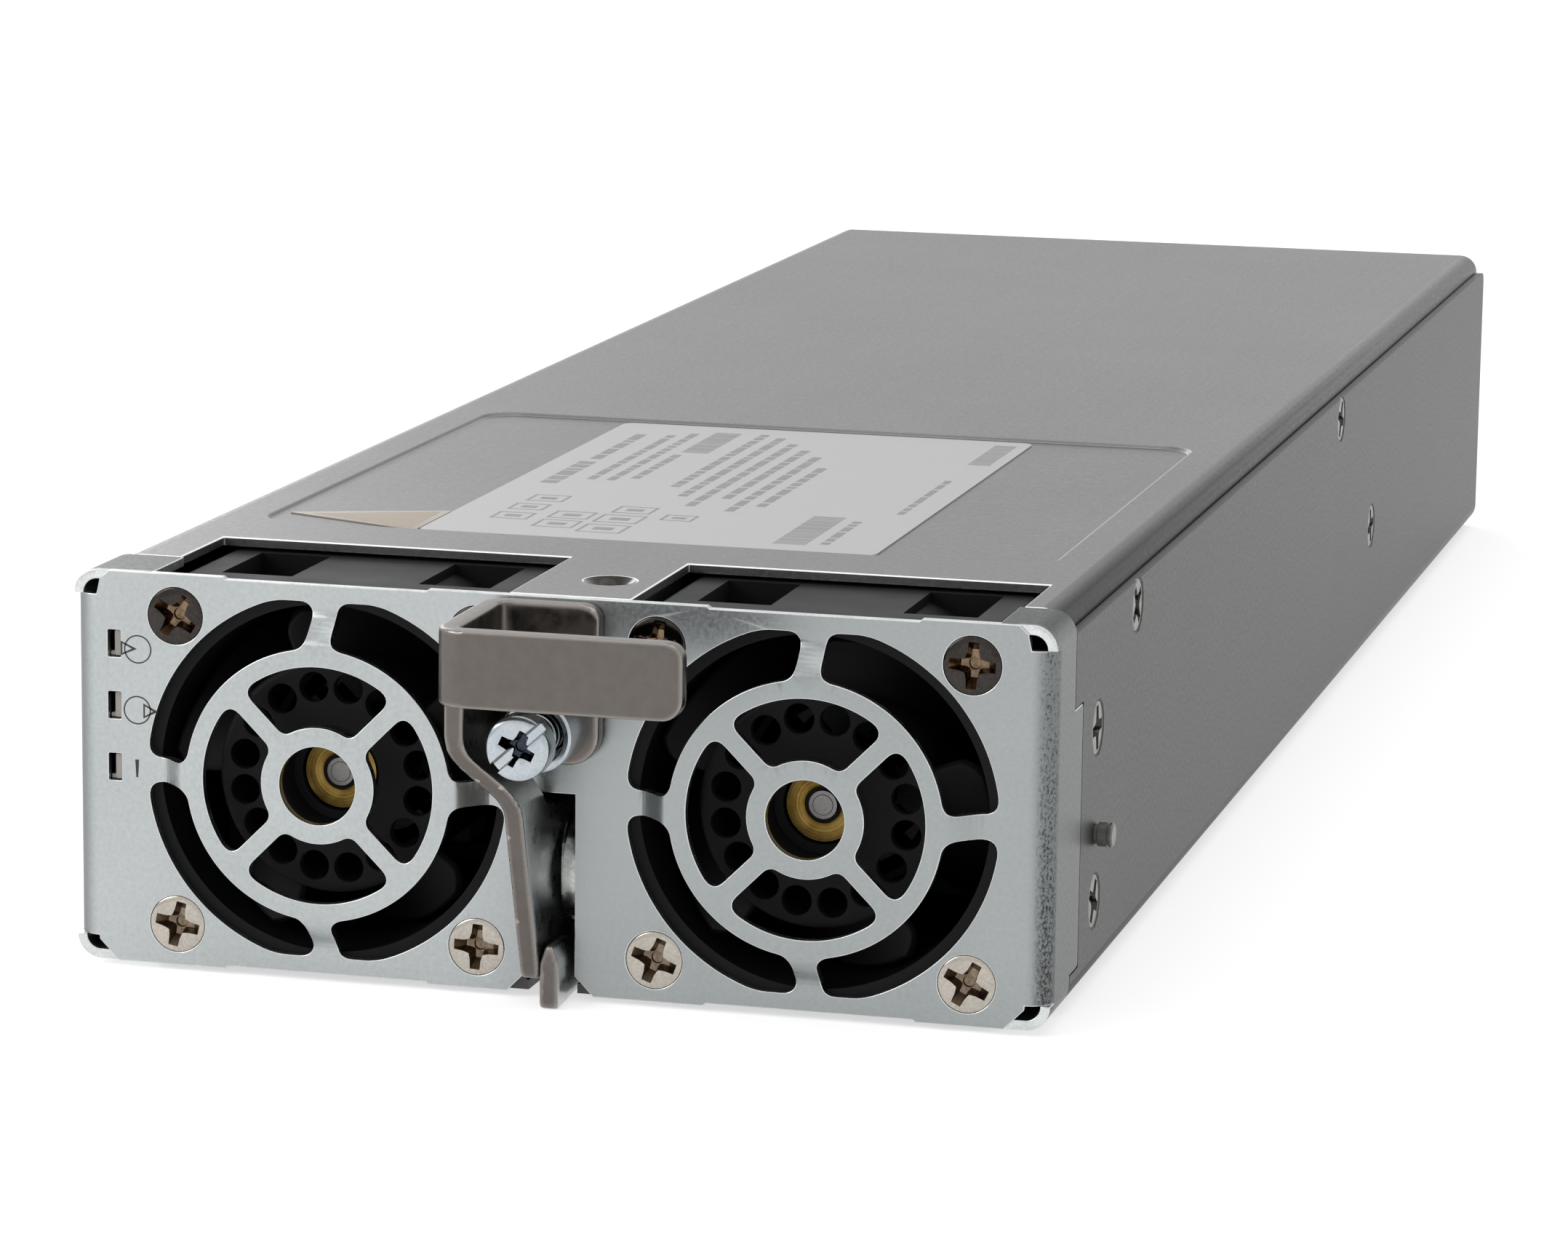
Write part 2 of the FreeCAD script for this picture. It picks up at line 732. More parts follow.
def on_recess_floor(points):
    """A label of this outline, stuck to the floor of the cover's recess."""
    floor = case_height - recess_depth
    return prism(points, "xy", floor, floor + label_sheet)


def type_label():
    x0, x1 = label_left, label_left + label_width
    y0 = recess_front + label_inset
    y1, r = y0 + label_length, label_corner
    return on_recess_floor([(x0, y0, r), (x1, y0, r), (x1, y1, r), (x0, y1, r)])


def caution_label():
    """Three-cornered label whose tip points to the left."""
    x1, y0 = label_left - seam, recess_front + label_inset
    return on_recess_floor([(x1, y0, seam), (x1, y0 + caution_height, seam),
                            (x1 - caution_reach, y0 + caution_height / 2, seam)])


def rear_panel():
    """Vented plate with a window for the connector and two sides folded forward."""
    low, high = sheet + nest_gap, case_height - sheet - nest_gap
    x = inside_half - nest_gap
    waist, neck, r = cover_low - nest_gap, cover_half - sheet - nest_gap, bend_radius - sheet
    face = prism([(-x, low, r), (x, low, r), (x, waist), (neck, waist), (neck, high, r),
                  (-neck, high, r), (-neck, waist), (-x, waist)],
                 "xz", case_depth - sheet, case_depth)
    flange = box(x - sheet, x, case_depth - rear_flange, case_depth - sheet / 2,
                 low + bend_radius, cover_low - nest_gap)
    panel = joined([face, flange, mirrored(flange)])
    half = vent_width / 2
    cuts = [box(-socket_width / 2 - nest_gap, socket_width / 2 + nest_gap, case_depth - 2,
                case_depth + 1, socket_low - nest_gap, socket_low + socket_height + nest_gap)]
    for i in range(vent_count):
        middle = inside_half - vent_side - i * vent_pitch
        vent = prism([(middle, vent_low), (middle + half, vent_low + half),
                      (middle + half, vent_high - half), (middle, vent_high),
                      (middle - half, vent_high - half), (middle - half, vent_low + half)],
                     "xz", case_depth - 2, case_depth + 1)
        cuts += [vent, mirrored(vent)]
    return cut_side_holes(panel.cut(cuts))


# ================================================================ brackets and pin
def side_bracket_blank():
    """Plate inside the right wall that ties the bezel to the tray."""
    high = cover_low - nest_gap
    front, back, low = side_bracket_front, side_bracket_back, side_bracket_low
    plate = prism([(front, low), (back - 2, low), (back, low + 2), (back, high - 2),
                   (back - 2, high), (front, high)],
                  "yz", inside_half - side_bracket, inside_half)
    return cut_side_holes(plate)


def left_side_bracket():
    return mirrored(side_bracket_blank())


def right_side_bracket():
    hole = flat_rod(clear_of(pin_shank_radius + press_gap, screw_sides), "x", 0, half_width,
                    front_screw_y, pin_z, screw_sides)
    return side_bracket_blank().cut(hole)


def locating_pin():
    """Steel pin through the right wall, with its head inside the bracket."""
    seat, tip = inside_half - side_bracket, half_width + pin_reach
    start = half_width + pin_neck
    shank = flat_rod(pin_shank_radius, "x", seat, start, front_screw_y, pin_z, screw_sides)
    body = rod(pin_radius, "x", start, tip - pin_nose, front_screw_y, pin_z)
    nose = flatted([(0, tip - pin_nose), (pin_radius - 0.01, tip - pin_nose),
                    (pin_radius - pin_nose, tip), (0, tip)],
                   "x", front_screw_y, pin_z, screw_sides)
    head = flat_rod(pin_head_radius, "x", seat - pin_head, seat, front_screw_y, pin_z, screw_sides)
    return joined([shank, body, nose, head])


# ================================================================ fans
def frame_pocket(fan_x, side_x, side_z):
    """One core-out, floored by the outside of the duct."""
    x0, x1 = sorted((fan_x + side_x * pocket_inner, fan_x + side_x * pocket_outer))
    y0, y1 = fan_front + pocket_front, fan_front + pocket_back
    z0, z1 = sorted((fan_z + side_z * fan_size / 4, fan_z + side_z * fan_size))
    return box(x0, x1, y0, y1, z0, z1).cut(rod(fan_bore + pocket_skin, "y", y0, y1, fan_x, fan_z))


def fan_frame(side):
    """Square frame with a round duct, four struts and the motor's rear disc and tube."""
    fan_x, half, r = front_of[side], fan_size / 2, fan_corner
    block = prism([(fan_x - half, fan_z - half, r), (fan_x + half, fan_z - half, r),
                   (fan_x + half, fan_z + half, r), (fan_x - half, fan_z + half, r)],
                  "xz", fan_front, fan_rear)
    duct = rod(fan_bore, "y", fan_front - 1, fan_rear + 1, fan_x, fan_z)
    pockets = [frame_pocket(fan_x, sx, sz) for sx in (-1, 1) for sz in (-1, 1)]
    disc_front = fan_rear - motor_disc
    strut = box(fan_x - half + 0.5, fan_x + half - 0.5, disc_front, fan_rear,
                fan_z - strut_width / 2, fan_z + strut_width / 2)
    tube_front = shaft_place()["tube_front"]
    rear = [flat_rod(motor_disc_radius, "y", disc_front, fan_rear, fan_x, fan_z, round_sides),
            flat_rod(tube_radius, "y", tube_front, fan_rear, fan_x, fan_z, screw_sides)]
    rear += [turn_about(strut, "y", fan_x, fan_z, angle) for angle in (30, 120)]
    bore = flat_rod(clear_of(bearing_outer + press_gap, round_sides), "y", tube_front - 1,
                    fan_rear - 1, fan_x, fan_z, round_sides)
    frame = joined([cut_fan_holes(block).cut([duct] + pockets)] + rear)
    return frame.cut(bore)


def shaft_place():
    """Places along the fan's axis, all from the rotor's face."""
    face = fan_front + fan_face_set
    bush_front = face + dish_depth + 0.3
    bush_rear = bush_front + bush_length
    tube_front = bush_rear + 0.4
    return {"face": face, "bush_front": bush_front, "bush_rear": bush_rear,
            "tube_front": tube_front, "cup_rear": fan_rear - motor_disc - rotor_end_gap,
            "bearing": tube_front + 0.2,
            "shaft_rear": fan_rear - 1 - 0.3}


def fan_blade():
    """One cambered blade standing up from the hub, before it is turned to its place."""
    front, length = fan_front + blade_front, blade_back - blade_front
    half, rise = blade_half_width, 0.7
    line = []
    for i in range(5):
        t = i / 4
        bow = blade_camber * 4 * t * (1 - t)
        line.append((-half + 2 * half * t - bow * rise, front + length * t + bow * rise))
    back = [(x, y + blade_thick) for x, y in line[1:-1]]
    section = prism(line + back[::-1], "xy", fan_hub - 2, blade_tip + 1)
    ring = tube(blade_tip, fan_hub - 0.6, "y", 0, fan_rear, 0, 0)
    sweep = prism([(-half - 1, fan_hub - 4), (half + 1, fan_hub - 4), (half + 0.1, blade_tip - 2),
                   (half - 2, blade_tip + 0.5), (2 - half, blade_tip + 0.5),
                   (-half - 0.1, blade_tip - 2)], "xz", 0, fan_rear)
    return section.common(sweep).common(ring)


def fan_rotor(side):
    """Cup with a dished, vented face and five blades."""
    fan_x, place = front_of[side], shaft_place()
    face, rear = place["face"], place["cup_rear"]
    dish, seat = face + dish_depth, clear_of(bush_radius + press_gap, round_sides)
    cup = rod(fan_hub, "y", face, rear, 0, 0)
    inside = fan_hub - fan_cup_wall
    hollow = flatted([(0, dish + fan_face), (dish_radius + 1, dish + fan_face),
                      (dish_radius + 1, face + fan_face), (inside, face + fan_face),
                      (inside, rear + 1), (0, rear + 1)], "y", 0, 0, round_sides)
    bowl = flatted([(0, face - 1), (dish_radius, face - 1), (dish_radius - 0.6, dish), (seat, dish),
                    (seat, rear), (0, rear)], "y", 0, 0, round_sides)
    hole = flat_rod(vent_hole_radius, "y", 0, face + fan_face + 1, vent_hole_circle, 0, 8)
    step = 360 / vent_hole_count
    holes = [turn_about(hole, "y", 0, 0, (i + 0.5) * step) for i in range(vent_hole_count)]
    blade = fan_blade()
    blades = [turn_about(blade, "y", 0, 0, i * 360 / blade_count + 12) for i in range(blade_count)]
    rotor = joined([cup.cut([hollow, bowl] + holes)] + blades)
    rotor.translate(V(fan_x, 0, fan_z))
    return rotor


def hub_bush(side):
    """Brass boss that carries the shaft."""
    place, fan_x = shaft_place(), front_of[side]
    front, rear, neck = place["bush_front"], place["bush_rear"], place["bush_front"] + fan_face
    bore = clear_of(shaft_radius + press_gap, screw_sides)
    return flatted([(bore, front), (bush_radius, front), (bush_radius, neck),
                    (tube_radius - 0.4, neck), (tube_radius - 0.4, rear), (bore, rear)],
                   "y", fan_x, fan_z, round_sides)


def fan_shaft(side):
    place = shaft_place()
    return rod(shaft_radius, "y", place["bush_front"] - 0.2, place["shaft_rear"],
               front_of[side], fan_z)


def rotor_magnet(side):
    outer = (fan_hub - fan_cup_wall) * math.cos(math.pi / round_sides) - press_gap
    rear = shaft_place()["cup_rear"]
    return flat_tube(outer, outer - magnet_wall, "y", rear - stator_length - 4, rear - 1,
                     front_of[side], fan_z, round_sides)


def fan_stator(side):
    """Four laminated poles on the bearing tube."""
    fan_x = front_of[side]
    outer = fan_hub - fan_cup_wall - press_gap - 2 * magnet_wall - air_gap
    rear = shaft_place()["cup_rear"] - 2
    bore = clear_of(tube_radius + press_gap, screw_sides)
    ring = flat_rod(outer, "y", rear - stator_length, rear, fan_x, fan_z, round_sides).cut(
        flat_rod(bore, "y", 0, fan_rear, fan_x, fan_z, screw_sides))
    gap = box(fan_x + 5, fan_x + outer - 1.2, 0, fan_rear, fan_z - 2.4, fan_z + 2.4)
    mouth = box(fan_x + 5, fan_x + outer + 1, 0, fan_rear, fan_z - 0.7, fan_z + 0.7)
    cuts = [turn_about(cut, "y", fan_x, fan_z, 45 + 90 * i) for cut in (gap, mouth)
            for i in range(4)]
    return ring.cut(cuts)


def fan_bearings():
    """A long sleeve in each fan's tube."""
    place, sleeves = shaft_place(), []
    for fan_x in (left_fan_x, right_fan_x):
        start, stop = place["bearing"], fan_rear - 1 - 0.2
        outside = flat_rod(bearing_outer, "y", start, stop, fan_x, fan_z, round_sides)
        sleeves.append(outside.cut(rod(shaft_radius + shaft_run, "y", start, stop, fan_x, fan_z)))
    return group(sleeves)


# ================================================================ lever
def strip(points, thick, bend):
    """Outline of a folded strip from its middle line, with concentric corners."""
    def edge(side):
        line = []
        for i, point in enumerate(points):
            here = V(*point, 0)
            ways = []
            if i > 0:
                ways.append((here - V(*points[i - 1], 0)).normalize())
            if i < len(points) - 1:
                ways.append((V(*points[i + 1], 0) - here).normalize())
            normals = [V(-way.y, way.x, 0) for way in ways]
            mean = normals[0] + normals[-1]
            mean.normalize()
            spot = here + mean * (side * thick / 2 / mean.dot(normals[0]))
            radius = 0
            if len(ways) == 2:
                inside = ways[0].cross(ways[1]).z * side > 0
                radius = bend if inside else bend + thick
            line.append((spot.x, spot.y, radius))
        return line
    return edge(1) + edge(-1)[::-1]


def lever_web():
    """Arm, sideways step and web, cut from one folded strip."""
    arm_x, web_x = arm_left + lever_sheet / 2, web_left + lever_sheet / 2
    path = [(arm_x, lever_top), (arm_x, jog_high), (web_x, jog_low), (web_x, 0)]
    fold = prism(strip(path, lever_sheet, jog_bend), "xz", -bar_reach, pivot_y + pivot_boss)
    fold_start = bar_reach - lever_sheet - lever_bend
    fold_end = flange_set + lever_sheet + lever_bend
    side = [(-fold_start, lever_top), (-fold_start, bar_low), (-arm_front, bar_low),
            (-arm_front, jog_high + 0.4, 3), (-web_front_high, slot_top, 4),
            (-web_front_low, web_low, 0.8), (web_back_low, web_low, 1.5),
            (pivot_y + 2, pivot_z - pivot_boss + 0.5), (pivot_y, pivot_z + pivot_boss - 0.2),
            (-0.9, slot_top - 0.8, 1.0), (-fold_end, jog_low + 1.0, 1.5), (-fold_end, lever_top)]
    blank = prism(side, "yz", arm_left - 1, web_right + 1)
    boss = rod(pivot_boss, "x", web_left - 1, web_right + 1, pivot_y, pivot_z)
    return fold.common(blank.fuse(boss))


def lever_fold(y, toward):
    """Quarter fold at one end of the arm; toward is -1 for the grip, +1 for the flange."""
    x = arm_left + lever_sheet + lever_bend
    low = bar_low if toward < 0 else jog_high + 0.6
    outer = lever_bend + lever_sheet
    ring = tube(outer, lever_bend, "z", low, lever_top, x, y)
    keep = box(x - outer, x, min(y, y + toward * outer), max(y, y + toward * outer), low, lever_top)
    return ring.common(keep)


def pull_lever():
    x = arm_left + lever_sheet + lever_bend
    grip = prism([(x, bar_low), (bar_right, bar_low, bar_corner + 0.5),
                  (bar_right, lever_top, bar_corner), (x, lever_top)],
                 "xz", -bar_reach, -bar_reach + lever_sheet)
    back = -flange_set
    flange = prism([(x, flange_low, 1.0), (flange_right, flange_low, flange_corner),
                    (flange_right, lever_top, bar_corner), (x, lever_top)],
                   "xz", back - lever_sheet, back)
    folds = [lever_fold(-bar_reach + lever_sheet + lever_bend, -1),
             lever_fold(back - lever_sheet - lever_bend, 1)]
    holes = [rod(pivot_radius + pivot_run, "x", web_left - 1, web_right + 1, pivot_y, pivot_z),
             flat_rod(clear_of(ferrule_spigot + press_gap, round_sides), "y", -bar_reach / 2, 0,
                      captive_x, captive_z, round_sides)]
    return joined([lever_web(), grip, flange] + folds).cut(holes)


def eject_cam():
    """Foot on the web's right face: it swings down and back as the lever opens."""
    left, right, middle = web_right, web_right + cam_width, web_right + cam_width / 2
    front = prism([(left, cam_tip - 1), (left, cam_shoulder, 1.4), (middle, cam_high + 0.3, 0.5),
                   (right, cam_shoulder, 1.4), (right, cam_tip - 1)], "xz", -cam_front, cam_back)
    reach = pivot_z - pivot_head_radius
    side = prism([(-cam_front, cam_tip, 0.4), (-cam_front, cam_high + 0.3),
                  (pivot_y - 6.5, cam_high + 0.3, 1.0), (pivot_y - 4.5, reach - 1.1, 2.0),
                  (pivot_y + 3.5, reach - 1.1, 0.8), (cam_back, cam_tip + 3.0, 1.5),
                  (pivot_y - 0.5, cam_tip + 0.6, 4.0)], "yz", left, right)
    return front.common(side)


def lever_bracket():
    """Channel between the fans that carries the pivot, open to the front."""
    left, right = bay_left + bracket_clear, bay_right - bracket_clear
    high = case_height - sheet
    t = bracket_sheet
    walls = prism([(left, sheet), (left, bracket_depth, t + 0.5), (right, bracket_depth, t + 0.5),
                   (right, sheet), (right - t, sheet), (right - t, bracket_depth - t, 0.5),
                   (left + t, bracket_depth - t, 0.5), (left + t, sheet)], "xy", sheet, high)
    relief = [prism([(sheet - 1, bracket_side_front), (bracket_top_front, high - t - 3, 2),
                     (bracket_top_front, high + 1), (sheet - 1, high + 1)], "yz", left - 1, right + 1)]
    top = box(left, right, bracket_top_front, bracket_top_back, high - t, high)
    hole_x = (bay_left + bay_right) / 2 + tongue_hole_x
    tap = flat_rod(screw_radius - 0.25, "z", high - t - 1, high + 1, hole_x, tongue_hole_y,
                   screw_sides)
    pivot = flat_rod(clear_of(pivot_radius + press_gap, round_sides), "x", left - 1, left + t + 1,
                     pivot_y, pivot_z, round_sides)
    return joined([walls.cut(relief), top]).cut([tap, pivot])


def pivot_rivet():
    """Shank through the bracket and the lever, with a wide flat head on the right."""
    seat = web_right + washer_space
    shank = rod(pivot_radius, "x", bay_left + bracket_clear, seat, pivot_y, pivot_z)
    head = rod(pivot_head_radius, "x", seat, seat + pivot_head, pivot_y, pivot_z)
    return joined([shank, head])


def wave_washer():
    """Thin bent ring that keeps the lever from rattling."""
    start = web_right + 0.05
    ring = flat_tube(wave_outer, pivot_radius + 0.3, "x", start, web_right + washer_space - 0.05,
                     pivot_y, pivot_z, round_sides)
    shell = tube(wave_curve, wave_curve - wave_thick, "z", 0, case_height,
                 start + wave_curve, pivot_y)
    return ring.common(shell)


# ================================================================ captive screw
def captive_place():
    """Places along the captive screw's axis with the screw sprung out."""
    flange_front = -flange_set - lever_sheet
    rim = flange_front - ferrule_length
    underside = rim - captive_stop - captive_travel
    return {"flange_front": flange_front, "rim": rim, "underside": underside,
            "face": underside - captive_head, "web_front": flange_front - ferrule_web,
            "web_rear": flange_front}


def screw_ferrule():
    """Cup pressed into the lever's flange: it guides the spring and holds the screw."""
    place = captive_place()
    rim, front, tail = place["rim"], place["flange_front"], -flange_set
    neck = captive_neck + neck_clear
    thread = captive_thread + thread_clear
    return flatted([(ferrule_bore, rim), (ferrule_radius, rim), (ferrule_radius, front),
                    (ferrule_spigot, front), (ferrule_spigot, tail), (thread, tail),
                    (thread, front), (neck, front), (neck, place["web_front"]),
                    (ferrule_bore, place["web_front"])], "y", captive_x, captive_z, round_sides)


def captive_screw():
    """Cheese head with a cross recess and a slot, a thin neck and a short thread."""
    place = captive_place()
    face, under = place["face"], place["underside"]
    shoulder = place["web_rear"] + 0.1
    tip = shoulder + captive_thread_length
    screw = flatted([(0, face), (captive_head_radius, face), (captive_head_radius, under),
                     (captive_neck, under), (captive_neck, shoulder), (captive_thread, shoulder),
                     (captive_thread, tip), (0, tip)], "y", captive_x, captive_z, round_sides)
    slot = box(captive_x - 5, captive_x + 5, face - 1, face + 0.9, captive_z - 0.5, captive_z + 0.5)
    arm = box(captive_x - 1.7, captive_x + 1.7, face - 1, face + 1.5, captive_z - 0.45,
              captive_z + 0.45)
    cuts = [turn_about(slot, "y", captive_x, captive_z, -40)]
    cuts += [turn_about(arm, "y", captive_x, captive_z, angle) for angle in (27, 117)]
    return screw.cut(cuts)


def screw_collar():
    under = captive_place()["underside"] + 0.03
    return flat_tube(ferrule_bore - 0.15, captive_neck + neck_clear, "y", under, under + collar,
                     captive_x, captive_z, round_sides)


def screw_spring():
    """Compression spring between the collar and the floor of the ferrule, in short straights."""
    place = captive_place()
    half = spring_wire / 2
    start = place["underside"] + 0.03 + collar + spring_end_gap + half
    length = place["web_front"] - spring_end_gap - half - start
    steps = spring_turns * spring_steps
    rings = []
    for i in range(steps + 1):
        angle = 2 * math.pi * i / spring_steps
        out = V(math.cos(angle), 0, math.sin(angle))
        middle = V(captive_x, start + length * i / steps, captive_z) + out * spring_radius
        rings.append([middle + out * (a * half) + V(0, b * half, 0)
                      for a, b in ((1, 0), (0, 1), (-1, 0), (0, -1))])
    faces = []
    for near, far in zip(rings, rings[1:]):
        for k in range(4):
            a, b, c, d = near[k], near[(k + 1) % 4], far[(k + 1) % 4], far[k]
            faces.append(Part.Face(Part.makePolygon([a, b, c, a])))
            faces.append(Part.Face(Part.makePolygon([a, c, d, a])))
    for end in (rings[0], rings[-1]):
        faces.append(Part.Face(Part.makePolygon(end + end[:1])))
    return Part.Solid(Part.makeShell(faces))


def clinch_nut():
    """Hexagonal nut behind the bezel for the captive screw."""
    corner = nut_flats / math.sqrt(3)
    points = [(captive_x + corner * math.cos(math.radians(60 * i)),
               captive_z + corner * math.sin(math.radians(60 * i))) for i in range(6)]
    nut = prism(points, "xz", sheet, sheet + nut_depth)
    bore = clear_of(captive_thread + thread_clear / 2, screw_sides)
    return nut.cut(flat_rod(bore, "y", 0, sheet + nut_depth + 1, captive_x, captive_z, screw_sides))


# ================================================================ light pipes
def light_pipes():
    half_w = led_window_width / 2 - pipe_clear
    half_h = led_window_height / 2 - pipe_clear
    start = pipe_set
    return group([box(window_x - half_w, window_x + half_w, start, start + pipe_length,
                      z - half_h, z + half_h) for z in led_window_z()])


def leds():
    start = pipe_set + pipe_length
    return group([box(window_x - 0.6, window_x + 0.6, start, start + led_depth, z - 0.8, z + 0.8)
                  for z in led_window_z()])


def led_board():
    start = pipe_set + pipe_length + led_depth
    low, high = led_window_z()[-1] - led_board_edge, led_window_z()[0] + led_board_edge
    high = min(high, case_height - cover_flange - nest_gap + 5)
    return box(-cover_half + sheet + nest_gap, left_fan_x - fan_size / 2 - led_board_gap,
               start, start + led_board_sheet, low, high)


# ================================================================ power train
def standoff_places():
    rows = (board_front + standoff_inset, (board_front + board_rear) / 2,
            board_rear - standoff_inset)
    x = board_half - standoff_inset
    return [(side * x, y) for y in rows for side in (-1, 1)]


def board_standoffs():
    """Hexagonal pillars with a tapped hole."""
    hole = clear_of(screw_radius + screw_clear, 6)
    return group([flat_tube(standoff_radius, hole, "z", sheet, board_z, x, y, 6)
                  for x, y in standoff_places()])


def board_screws():
    head = board_top + board_screw_thick
    profile = [(0, sheet + 0.6), (screw_radius, sheet + 0.6), (screw_radius, board_top),
               (board_screw_head, board_top), (board_screw_head, head), (0, head)]
    return group([flatted(profile, "z", x, y, screw_sides) for x, y in standoff_places()])


def insulation_sheet():
    """Thin sheet between the board and the floor, holed for the standoffs."""
    x, hole = inside_half - insulator_gap, standoff_radius + 0.4
    film = box(-x, x, fan_rear + insulator_gap, case_depth - rear_flange - insulator_gap,
               sheet, sheet + insulator_sheet)
    return film.cut([flat_rod(hole, "z", 0, board_z, a, b, 6) for a, b in standoff_places()])


def main_board():
    board = box(-board_half, board_half, board_front, board_rear, board_z, board_top)
    hole = clear_of(screw_radius + screw_clear, screw_sides)
    return board.cut([flat_rod(hole, "z", 0, board_top + 1, x, y, screw_sides)
                      for x, y in standoff_places()])


def heatsink(side):
    """Upright plate with fins on its outer face, on the board."""
    x = side * heatsink_x
    y0, y1 = heatsink_front, heatsink_front + heatsink_length
    inner, outer = x - side * heatsink_plate, x + side * heatsink_fin_length
    pieces = [box(min(x, inner), max(x, inner), y0, y1, board_top, board_top + heatsink_height)]
    step = (heatsink_height - heatsink_fin) / (heatsink_fins - 1)
    for i in range(heatsink_fins):
        z = board_top + i * step
        pieces.append(box(min(x, outer), max(x, outer), y0, y1, z, z + heatsink_fin))
    return joined(pieces)


def power_transistors():
    """Flat packages against the inner faces of both heatsinks."""
    devices = []
    face = heatsink_x - heatsink_plate
    for side in (-1, 1):
        for i in range(device_count):
            y = heatsink_front + 12 + i * device_pitch
            x0, x1 = sorted((side * face, side * (face - device_thick)))
            z = board_top + 4
            body = box(x0, x1, y, y + device_width, z, z + device_height)
            middle = (x0 + x1) / 2
            legs = box(middle - 0.3, middle + 0.3, y + 2, y + device_width - 2, board_top, z)
            devices.append(joined([body, legs]))
    return group(devices)


def bulk_capacitors():
    y = case_depth - bulk_from_rear
    return group([flat_rod(bulk_radius, "z", board_top, board_top + bulk_height, side * bulk_x, y,
                           round_sides) for side in (-1, 1)])


def output_capacitors():
    top, y = board_top + output_cap_height, board_rear - 12
    x = socket_width / 2 + 1 + output_cap_radius
    return group([flat_rod(output_cap_radius, "z", board_top, top, side * x,
                           y - i * output_cap_pitch, screw_sides)
                  for side in (-1, 1) for i in range(output_cap_count)])


def transformer_core():
    """Ferrite frame of two E halves, open over the winding."""
    half = core_width / 2
    y0, y1 = core_front, core_front + core_depth
    frame = box(-half, half, y0, y1, board_top, board_top + core_height)
    window = []
    for side in (-1, 1):
        x0, x1 = sorted((side * core_limb / 2, side * (half - core_limb / 2)))
        window.append(box(x0, x1, y0 + core_limb / 2, y1 - core_limb / 2,
                          board_top - 1, board_top + core_height + 1))
    return frame.cut(window)


def transformer_winding():
    """Taped winding round the middle limb, bulging over the core."""
    r, gap = core_limb / 2, 0.3
    x1 = core_width / 2 - r - gap
    y0, y1 = core_front + r + gap, core_front + core_depth - r - gap
    block = prism([(-x1, y0, 2), (x1, y0, 2), (x1, y1, 2), (-x1, y1, 2)], "xy",
                  board_top, board_top + core_height + winding_swell / 4)
    limb = box(-r - gap, r + gap, core_front, core_front + core_depth, 0, case_height)
    return block.cut(limb)


def choke_core():
    return flat_tube(choke_radius, choke_bore, "z", board_top + choke_lift,
                     board_top + choke_lift + choke_height, choke_x, choke_front + choke_radius,
                     round_sides)


def choke_winding():
    """Loops of wire round the ring, each its own turn."""
    gap, w = 0.15, choke_wire
    low, high = board_top + choke_lift - gap, board_top + choke_lift + choke_height + gap
    inner = choke_bore * math.cos(math.pi / round_sides) - gap
    loop = box(inner - 2 * w, choke_radius + gap + 2 * w, -w, w, low - 2 * w, high + 2 * w)
    loop = loop.cut(box(inner, choke_radius + gap, -w, w, low, high))
    middle = (choke_x, choke_front + choke_radius)
    turns = []
    for i in range(choke_turns):
        one = turn_about(loop, "z", 0, 0, i * 360 / choke_turns)
        one.translate(V(*middle, 0))
        turns.append(one)
    return group(turns)


def input_choke():
    y = case_depth - input_choke_from_rear
    half = input_choke_width / 2
    return prism([(-half, y - input_choke_depth, 3), (half, y - input_choke_depth, 3),
                  (half, y, 3), (-half, y, 3)], "xy", board_top, board_top + input_choke_height)


def output_inductor():
    """Square pot core beside the ring choke."""
    half, y = inductor_width / 2, choke_front + choke_radius
    x = -choke_x
    return prism([(x - half, y - half, 2), (x + half, y - half, 2), (x + half, y + half, 2),
                  (x - half, y + half, 2)], "xy", board_top, board_top + inductor_height)


def control_board():
    x = core_width / 2 - card_sheet - 1
    y = card_front - control_board_gap
    return box(-x, x, y, y + card_sheet, board_top, board_top + card_height)


def fan_headers():
    y = board_front + 1
    return group([box(x - header_width / 2, x + header_width / 2, y, y + header_depth,
                      board_top, board_top + header_height) for x in (left_fan_x, right_fan_x)])


# ================================================================ rear connector
def connector_housing():
    """Blind mate housing through the rear panel, with a lead-in at its mouth."""
    half = socket_width / 2
    low, high = board_top, socket_low + socket_height
    y0, y1 = case_depth + socket_reach - socket_depth, case_depth + socket_reach
    block = prism([(-half, max(low, socket_low), 1.5), (half, max(low, socket_low), 1.5),
                   (half, high, 1.5), (-half, high, 1.5)], "xz", y0, y1)
    foot = box(-half + 2, half - 2, y0, board_rear, board_top, socket_low + 2)
    mouth = []
    w = socket_wall
    for x0, x1 in ((-half + w, half - signal_room - w), (half - signal_room, half - w)):
        mouth.append(box(x0, x1, y1 - mouth_depth, y1 + 1, socket_low + w, high - w))
    return joined([block, foot]).cut(mouth)


def power_blades():
    half, w = socket_width / 2, socket_wall
    start = -half + w + blade_margin
    y0 = case_depth + socket_reach - mouth_depth
    middle = socket_low + socket_height / 2
    return group([box(start + i * blade_pitch, start + i * blade_pitch + blade_sheet, y0,
                      y0 + blade_length, middle - blade_height / 2, middle + blade_height / 2)
                  for i in range(blade_pair_count)])


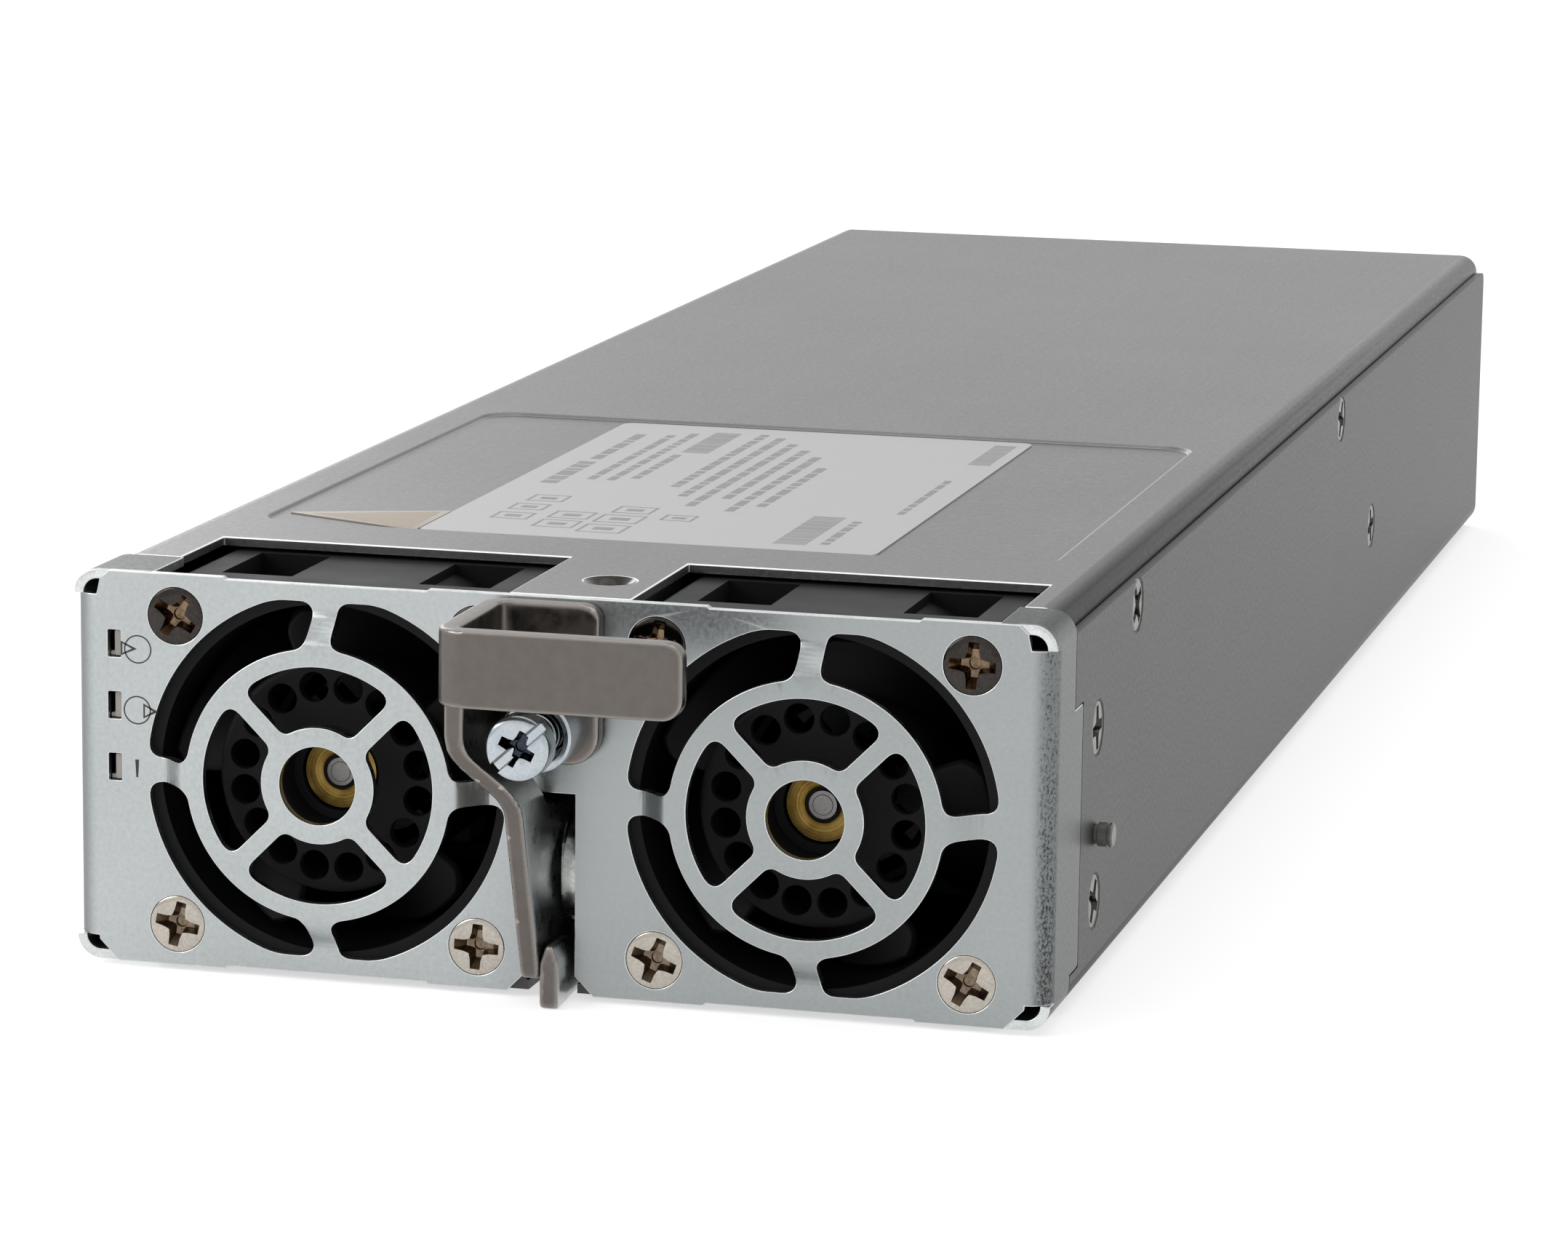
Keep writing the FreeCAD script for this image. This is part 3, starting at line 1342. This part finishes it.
def signal_pins():
    y0 = case_depth + socket_reach - mouth_depth
    x0 = socket_width / 2 - signal_room + signal_margin
    middle = socket_low + socket_height / 2
    pins = []
    for i in range(pin_columns):
        for k in range(pin_rows):
            x, z = x0 + i * pin_pitch, middle + (k - (pin_rows - 1) / 2) * pin_pitch * 2
            pins.append(box(x, x + pin_side, y0, y0 + signal_pin_length, z, z + pin_side))
    return group(pins)


def both(name, maker):
    """Left and right piece of a kind, each in its own sub-part."""
    return {side + "_" + name: maker(side) for side in ("left", "right")}


def build():
    nodes = {
        "front_bezel": front_bezel(), "chassis_tray": chassis_tray(), "top_cover": top_cover(),
        "type_label": type_label(), "caution_label": caution_label(),
        "rear_panel": rear_panel(), "left_side_bracket": left_side_bracket(),
        "right_side_bracket": right_side_bracket(), "lever_bracket": lever_bracket(),
        "side_screws": side_screws(), "fan_screws": fan_screws(), "locating_pin": locating_pin(),
        "clinch_nut": clinch_nut(), "light_pipes": light_pipes(), "leds": leds(),
        "led_board": led_board(), "fan_bearings": fan_bearings(), "pull_lever": pull_lever(),
        "eject_cam": eject_cam(), "pivot_rivet": pivot_rivet(), "wave_washer": wave_washer(),
        "screw_ferrule": screw_ferrule(), "captive_screw": captive_screw(),
        "screw_collar": screw_collar(), "screw_spring": screw_spring(),
        "insulation_sheet": insulation_sheet(), "board_standoffs": board_standoffs(),
        "board_screws": board_screws(), "main_board": main_board(),
        "left_heatsink": heatsink(-1), "right_heatsink": heatsink(1),
        "power_transistors": power_transistors(), "bulk_capacitors": bulk_capacitors(),
        "output_capacitors": output_capacitors(), "transformer_core": transformer_core(),
        "transformer_winding": transformer_winding(), "choke_core": choke_core(),
        "choke_winding": choke_winding(), "input_choke": input_choke(),
        "output_inductor": output_inductor(), "control_board": control_board(),
        "fan_headers": fan_headers(), "connector_housing": connector_housing(),
        "power_blades": power_blades(), "signal_pins": signal_pins(),
    }
    for name, maker in (("fan_frame", fan_frame), ("fan_rotor", fan_rotor),
                        ("hub_bush", hub_bush), ("fan_shaft", fan_shaft),
                        ("rotor_magnet", rotor_magnet), ("fan_stator", fan_stator)):
        nodes.update(both(name, maker))
    return nodes


os.makedirs("parts", exist_ok=True)
for node, solid in build().items():
    export(node, solid)
